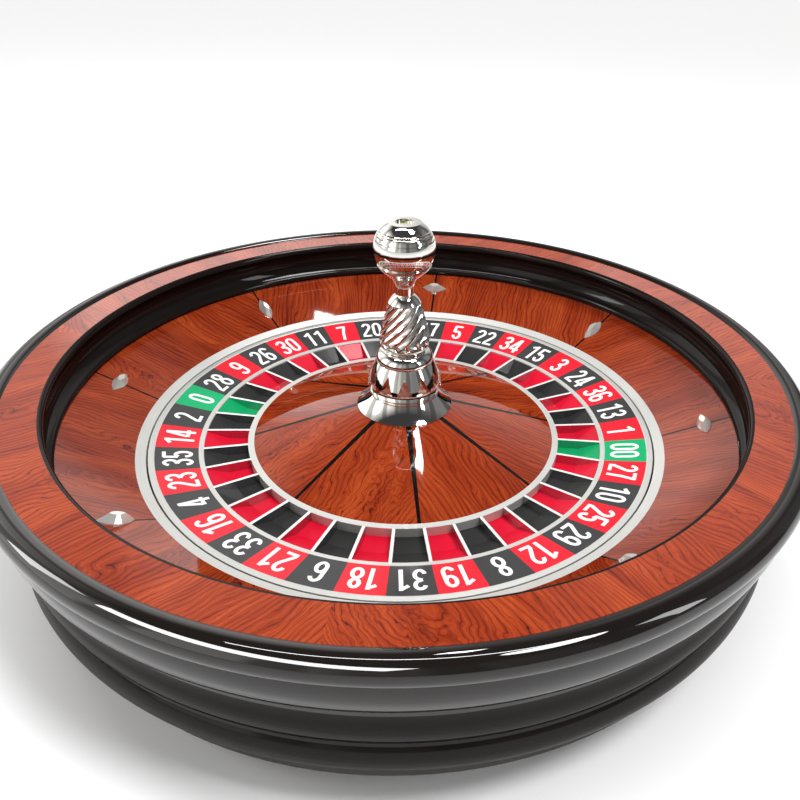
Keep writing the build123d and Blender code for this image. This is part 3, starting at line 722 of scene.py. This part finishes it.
def placeOnRing(point, label, angle):
    # point is in digit heights from the label's lower left corner
    count = len(label)
    span = count * numerals["wide"] + (count - 1) * numerals["gap"]
    side = (point[0] - span / 2) * numerals["height"]
    up = (point[1] - 0.5) * numerals["height"]
    slope = radians(numerals["ringSlope"])
    radius = panelRim - numerals["fromRim"] + up * cos(slope)
    x = radius * cos(angle) + side * sin(angle)
    y = radius * sin(angle) - side * cos(angle)
    z = panelTop - (panelRim - Vector((x, y)).length) * tan(slope)
    return Vector((x, y, z))


def numberDigits():
    strokes = digitStrokes()
    labels = numerals["order"].split()
    verts, faces = [], []
    for k, label in enumerate(labels):
        angle = radians(numerals["start"] - (k + 0.5) * 360 / len(labels))
        for place, digit in enumerate(label):
            shift = Vector((place * (numerals["wide"] + numerals["gap"]), 0))
            for layer, line in enumerate(strokes[digit]):
                left, right = ribbon(line, numerals["stroke"])
                first = len(verts)
                lift = Vector((0, 0, numerals["thick"] * (1 + numerals["layerStep"] * layer)))
                for a, b in zip(left, right):
                    verts += [placeOnRing(edge + shift, label, angle) + lift for edge in (a, b)]
                for j in range(first, first + 2 * len(line) - 2, 2):
                    faces.append((j, j + 1, j + 3, j + 2))
    return madePiece("numberDigits", verts, faces)


def whiteEnamel():
    material, tree, shader = freshMaterial("whiteEnamel")
    cloud = noise(tree, objectPlace(tree), 80.0, 3.0)
    colour = ramp(tree, cloud, [(0.3, (0.78, 0.78, 0.76)), (0.7, (0.88, 0.88, 0.87))])
    plug(tree, colour, shader.inputs["Base Color"])
    shader.inputs["Roughness"].default_value = 0.4
    plug(tree, bump(tree, cloud, 0.05, 0.1 * mm), shader.inputs["Normal"])
    return material


digits = numberDigits()
digits.data.materials.append(whiteEnamel())
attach(digits, "rotor")
print("numerals set")


# twisted column of the turret, turned smooth between sharp ridges
column = dict(
    flutes=14,
    twist=118.0,
    depth=2.1 * mm,
    foot=22.9 * mm,
    belly=26.9 * mm,
    bellyAt=0.14,
    top=17.0 * mm,
    bore=4.2 * mm,
    runOut=0.04,
    footDepth=0.4,
    topDepth=0.3,
    ringsUp=84,
    pointsRound=336,
    keepEdges=32,
)


def columnRadius(share):
    if share < column["bellyAt"]:
        swell = sin(share / column["bellyAt"] * pi / 2)
        return column["foot"] + (column["belly"] - column["foot"]) * swell
    fall = (share - column["bellyAt"]) / (1 - column["bellyAt"])
    return column["belly"] - (column["belly"] - column["top"]) * fall


def ringAt(radii, z, wind=0.0):
    # one ring of points, as far out as each of the radii says
    turns = [2 * pi * k / len(radii) for k in range(len(radii))]
    return [(radius * cos(t + wind), radius * sin(t + wind), z) for radius, t in zip(radii, turns)]


def twistedColumn():
    low, high = (corner[2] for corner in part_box("turret_column"))
    around = column["pointsRound"]
    flutes = [abs(sin(column["flutes"] * pi * step / around)) for step in range(around)]
    verts, faces = [], []
    for ring in range(column["ringsUp"] + 1):
        share = ring / column["ringsUp"]
        # the cutter runs out at both ends
        topFade = (1 - share) / column["runOut"] + column["topDepth"]
        footFade = share / column["runOut"] + column["footDepth"]
        depth = column["depth"] * min(1.0, topFade, footFade)
        radii = [columnRadius(share) - depth * flute for flute in flutes]
        verts += ringAt(radii, low + (high - low) * share, radians(column["twist"] * share))
    # flat ends, with the hole for the tie rod
    below = len(verts)
    above = below + around
    for z in (low, high):
        verts += ringAt([column["bore"]] * around, z)
    topRing = column["ringsUp"] * around
    strips = [(ring * around, (ring + 1) * around) for ring in range(column["ringsUp"])]
    for inner, outer in strips + [(below, 0), (topRing, above), (above, below)]:
        for step in range(around):
            after = (step + 1) % around
            faces.append((inner + step, inner + after, outer + after, outer + step))
    thing = madePiece("twistedColumn", verts, faces)
    smoothed(thing, column["keepEdges"])
    return thing


turnedColumn = twistedColumn()
turnedColumn.data.materials.append(chromeFinish)
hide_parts("turret_column")
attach(turnedColumn, "rotor")
print("column twisted")


# floor, light and camera
ground = dict(size=90.0, colour=(0.90, 0.90, 0.905), patchScale=3.0, patchShade=0.985)


def paleFloor():
    half = ground["size"] / 2
    corners = [(-half, -half, 0), (half, -half, 0), (half, half, 0), (-half, half, 0)]
    floor = madePiece("floor", corners, [(0, 1, 2, 3)])
    material, tree, shader = freshMaterial("paleFloor")
    cloud = noise(tree, objectPlace(tree), ground["patchScale"], 3.0)
    shade = scaled(ground["colour"], ground["patchShade"])
    plug(tree, mixed(tree, cloud, ground["colour"], shade), shader.inputs["Base Color"])
    shader.inputs["Roughness"].default_value = 0.7
    shader.inputs["Specular IOR Level"].default_value = 0.0
    floor.data.materials.append(material)


# each pair says between which heights or sides one colour passes into the next
sky = dict(
    ahead=(1.10, 1.10, 1.09),
    behind=(0.42, 0.42, 0.41),
    left=(2.1, 2.06, 2.0),
    right=(0.26, 0.26, 0.27),
    top=(0.06, 0.06, 0.063),
    gap=(0.03, 0.03, 0.032),
    behindFade=(0.35, -0.75),
    leftFade=(-0.05, -0.5),
    rightFade=(0.15, 0.6),
    gapFade=(0.25, 0.75, 0.0, 0.6),
    topFade=(0.52, 0.80),
    panels=9,
)


def softSky():
    world = bpy.data.worlds.new("softSky")
    bpy.context.scene.world = world
    world.use_nodes = True
    tree = world.node_tree
    tree.nodes.clear()
    output = tree.nodes.new("ShaderNodeOutputWorld")
    background = tree.nodes.new("ShaderNodeBackground")
    x, y, z = split(tree, tree.nodes.new("ShaderNodeTexCoord").outputs["Generated"])
    colour = mixed(tree, fitted(tree, y, *sky["behindFade"]), sky["ahead"], sky["behind"])
    colour = mixed(tree, fitted(tree, x, *sky["leftFade"]), colour, sky["left"])
    colour = mixed(tree, fitted(tree, x, *sky["rightFade"]), colour, sky["right"])
    # tall soft panels stand round the room with dark gaps between them
    wave = maths(tree, "SINE", times(tree, maths(tree, "ARCTAN2", y, x), sky["panels"]))
    colour = mixed(tree, fitted(tree, wave, *sky["gapFade"]), colour, sky["gap"])
    colour = mixed(tree, fitted(tree, z, *sky["topFade"]), colour, sky["top"])
    plug(tree, colour, background.inputs[0])
    tree.links.new(background.outputs[0], output.inputs[0])


sunlight = dict(strength=2.05, spread=17.0, fromSide=(0.55, -0.15, 1.25))


def softSun():
    data = bpy.data.lights.new("softSun", "SUN")
    data.energy = sunlight["strength"]
    data.angle = radians(sunlight["spread"])
    sun = bpy.data.objects.new("softSun", data)
    sun.rotation_euler = Vector(sunlight["fromSide"]).to_track_quat("Z", "Y").to_euler()
    bpy.context.scene.collection.objects.link(sun)


lamps = [
    dict(name="ceilingLong", at=(0.1, -0.20, 2.7), aim=(0.1, -0.2, 0), size=(2.4, 0.12), power=34.0),
    dict(name="windowBack", at=(0.11, 0.98, 2.38), aim=(0, -0.1, 0.1), size=(0.16, 0.34), power=9.0),
    dict(name="windowLeft", at=(-2.8, -0.4, 1.6), aim=(0, 0, 0.1), size=(0.5, 1.4), power=22.0),
    dict(name="windowRight", at=(2.6, -0.9, 1.5), aim=(0, 0, 0.1), size=(0.4, 1.5), power=16.0),
]
card = dict(name="longCard", at=(-1.3, -2.3, 2.6), aim=(0, -0.4, 0.15), size=(4.2, 1.0), power=330.0)


def softLamp(look):
    data = bpy.data.lights.new(look["name"], "AREA")
    data.shape = "RECTANGLE"
    data.size, data.size_y = look["size"]
    data.energy = look["power"]
    lamp = bpy.data.objects.new(look["name"], data)
    lamp.location = look["at"]
    way = Vector(look["aim"]) - Vector(look["at"])
    lamp.rotation_euler = way.to_track_quat("-Z", "Y").to_euler()
    bpy.context.scene.collection.objects.link(lamp)
    return lamp


def longCard():
    # only the outer mouldings mirror it, and it lights nothing
    lamp = softLamp(card)
    lamp.visible_diffuse = False
    shined = bpy.data.collections.new("shinedMouldings")
    for thing in (lip, rolls):
        shined.objects.link(thing)
    lamp.light_linking.receiver_collection = shined


view = dict(
    bearing=7.8,
    reach=0.70343,
    height=0.55863,
    down=31.68,
    yaw=-3.50,
    roll=1.82,
    lens=33.75,
    sensor=36.0,
    shift=(-0.0545, 0.0068),
    nearest=0.01,
)


def camera():
    data = bpy.data.cameras.new("camera")
    data.lens = view["lens"]
    data.sensor_width = view["sensor"]
    data.shift_x, data.shift_y = view["shift"]
    data.clip_start = view["nearest"]
    eye = bpy.data.objects.new("camera", data)
    turn = Matrix.Rotation(radians(view["bearing"]), 4, "Z")
    place = turn @ Matrix.Translation((0, -view["reach"], view["height"]))
    aim = Matrix.Rotation(radians(view["yaw"]), 4, "Z") @ Matrix.Rotation(radians(90 - view["down"]), 4, "X")
    eye.matrix_world = place @ aim @ Matrix.Rotation(radians(view["roll"]), 4, "Z")
    bpy.context.scene.collection.objects.link(eye)
    bpy.context.scene.camera = eye


paleFloor()
softSky()
softSun()
for look in lamps:
    softLamp(look)
longCard()
camera()
bpy.context.scene.view_settings.view_transform = "Standard"
print("studio ready")
